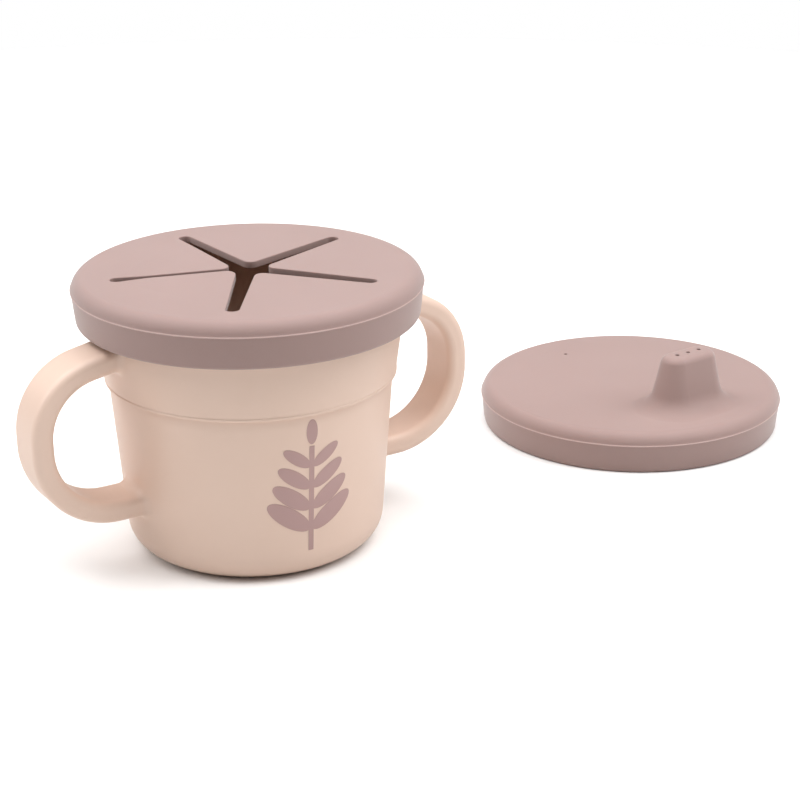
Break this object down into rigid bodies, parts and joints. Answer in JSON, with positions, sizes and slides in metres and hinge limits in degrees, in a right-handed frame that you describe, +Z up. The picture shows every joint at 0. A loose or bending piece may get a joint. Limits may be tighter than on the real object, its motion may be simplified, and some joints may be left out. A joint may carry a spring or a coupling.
{
  "type": "snack cup",
  "caption": "Toddler's cup with loop handles, a soft lid whose star-cut flaps let a small hand reach the snacks, and a spare soft lid with a drinking spout beside it.",
  "frame": {"origin": "centre of the cup's base, on the surface it stands on", "axes": "+Z up along the cup's axis, +X through the handles towards the loose spout lid, -Y the printed front"},
  "size_m": [0.2593, 0.1093, 0.0784],
  "materials": {
    "cup_plastic": "satin moulded polypropylene",
    "lid_silicone": "matt silicone"
  },
  "bodies": {
    "cup": {"cup_body": "cup_plastic"},
    "snack_lid": {"snack_lid": "lid_silicone"},
    "spout_lid": {"spout_lid": "lid_silicone"},
    "snack_flap_1": {"snack_flap_1": "lid_silicone"},
    "snack_flap_2": {"snack_flap_2": "lid_silicone"},
    "snack_flap_3": {"snack_flap_3": "lid_silicone"},
    "snack_flap_4": {"snack_flap_4": "lid_silicone"},
    "snack_flap_5": {"snack_flap_5": "lid_silicone"}
  },
  "joints": [
    {"name": "snack_lid_lift", "type": "slide", "parent": "cup", "child": "snack_lid", "axis": [0, 0, 1], "range_m": [0, 0.05]},
    {"name": "snack_flap_1_bend", "type": "hinge", "parent": "snack_lid", "child": "snack_flap_1", "pos_m": [0.01594, 0.02363, 0.07735], "axis": [-0.829, 0.5592, 0], "range_deg": [-75, 60], "stiffness_Nm_per_rad": 0.01},
    {"name": "snack_flap_2_bend", "type": "hinge", "parent": "snack_lid", "child": "snack_flap_2", "pos_m": [-0.01755, 0.02246, 0.07735], "axis": [-0.788, -0.6157, 0], "range_deg": [-75, 60], "stiffness_Nm_per_rad": 0.01},
    {"name": "snack_flap_3_bend", "type": "hinge", "parent": "snack_lid", "child": "snack_flap_3", "pos_m": [-0.02678, -0.00975, 0.07735], "axis": [0.342, -0.9397, 0], "range_deg": [-75, 60], "stiffness_Nm_per_rad": 0.01},
    {"name": "snack_flap_4_bend", "type": "hinge", "parent": "snack_lid", "child": "snack_flap_4", "pos_m": [0.00099, -0.02848, 0.07735], "axis": [0.9994, 0.0349, 0], "range_deg": [-75, 60], "stiffness_Nm_per_rad": 0.01},
    {"name": "snack_flap_5_bend", "type": "hinge", "parent": "snack_lid", "child": "snack_flap_5", "pos_m": [0.0274, -0.00786, 0.07735], "axis": [0.2756, 0.9613, 0], "range_deg": [-75, 60], "stiffness_Nm_per_rad": 0.01},
    {"name": "spout_lid_lift", "type": "slide", "parent": "cup", "child": "spout_lid", "axis": [0, 0, 1], "range_m": [0, 0.1]}
  ]
}
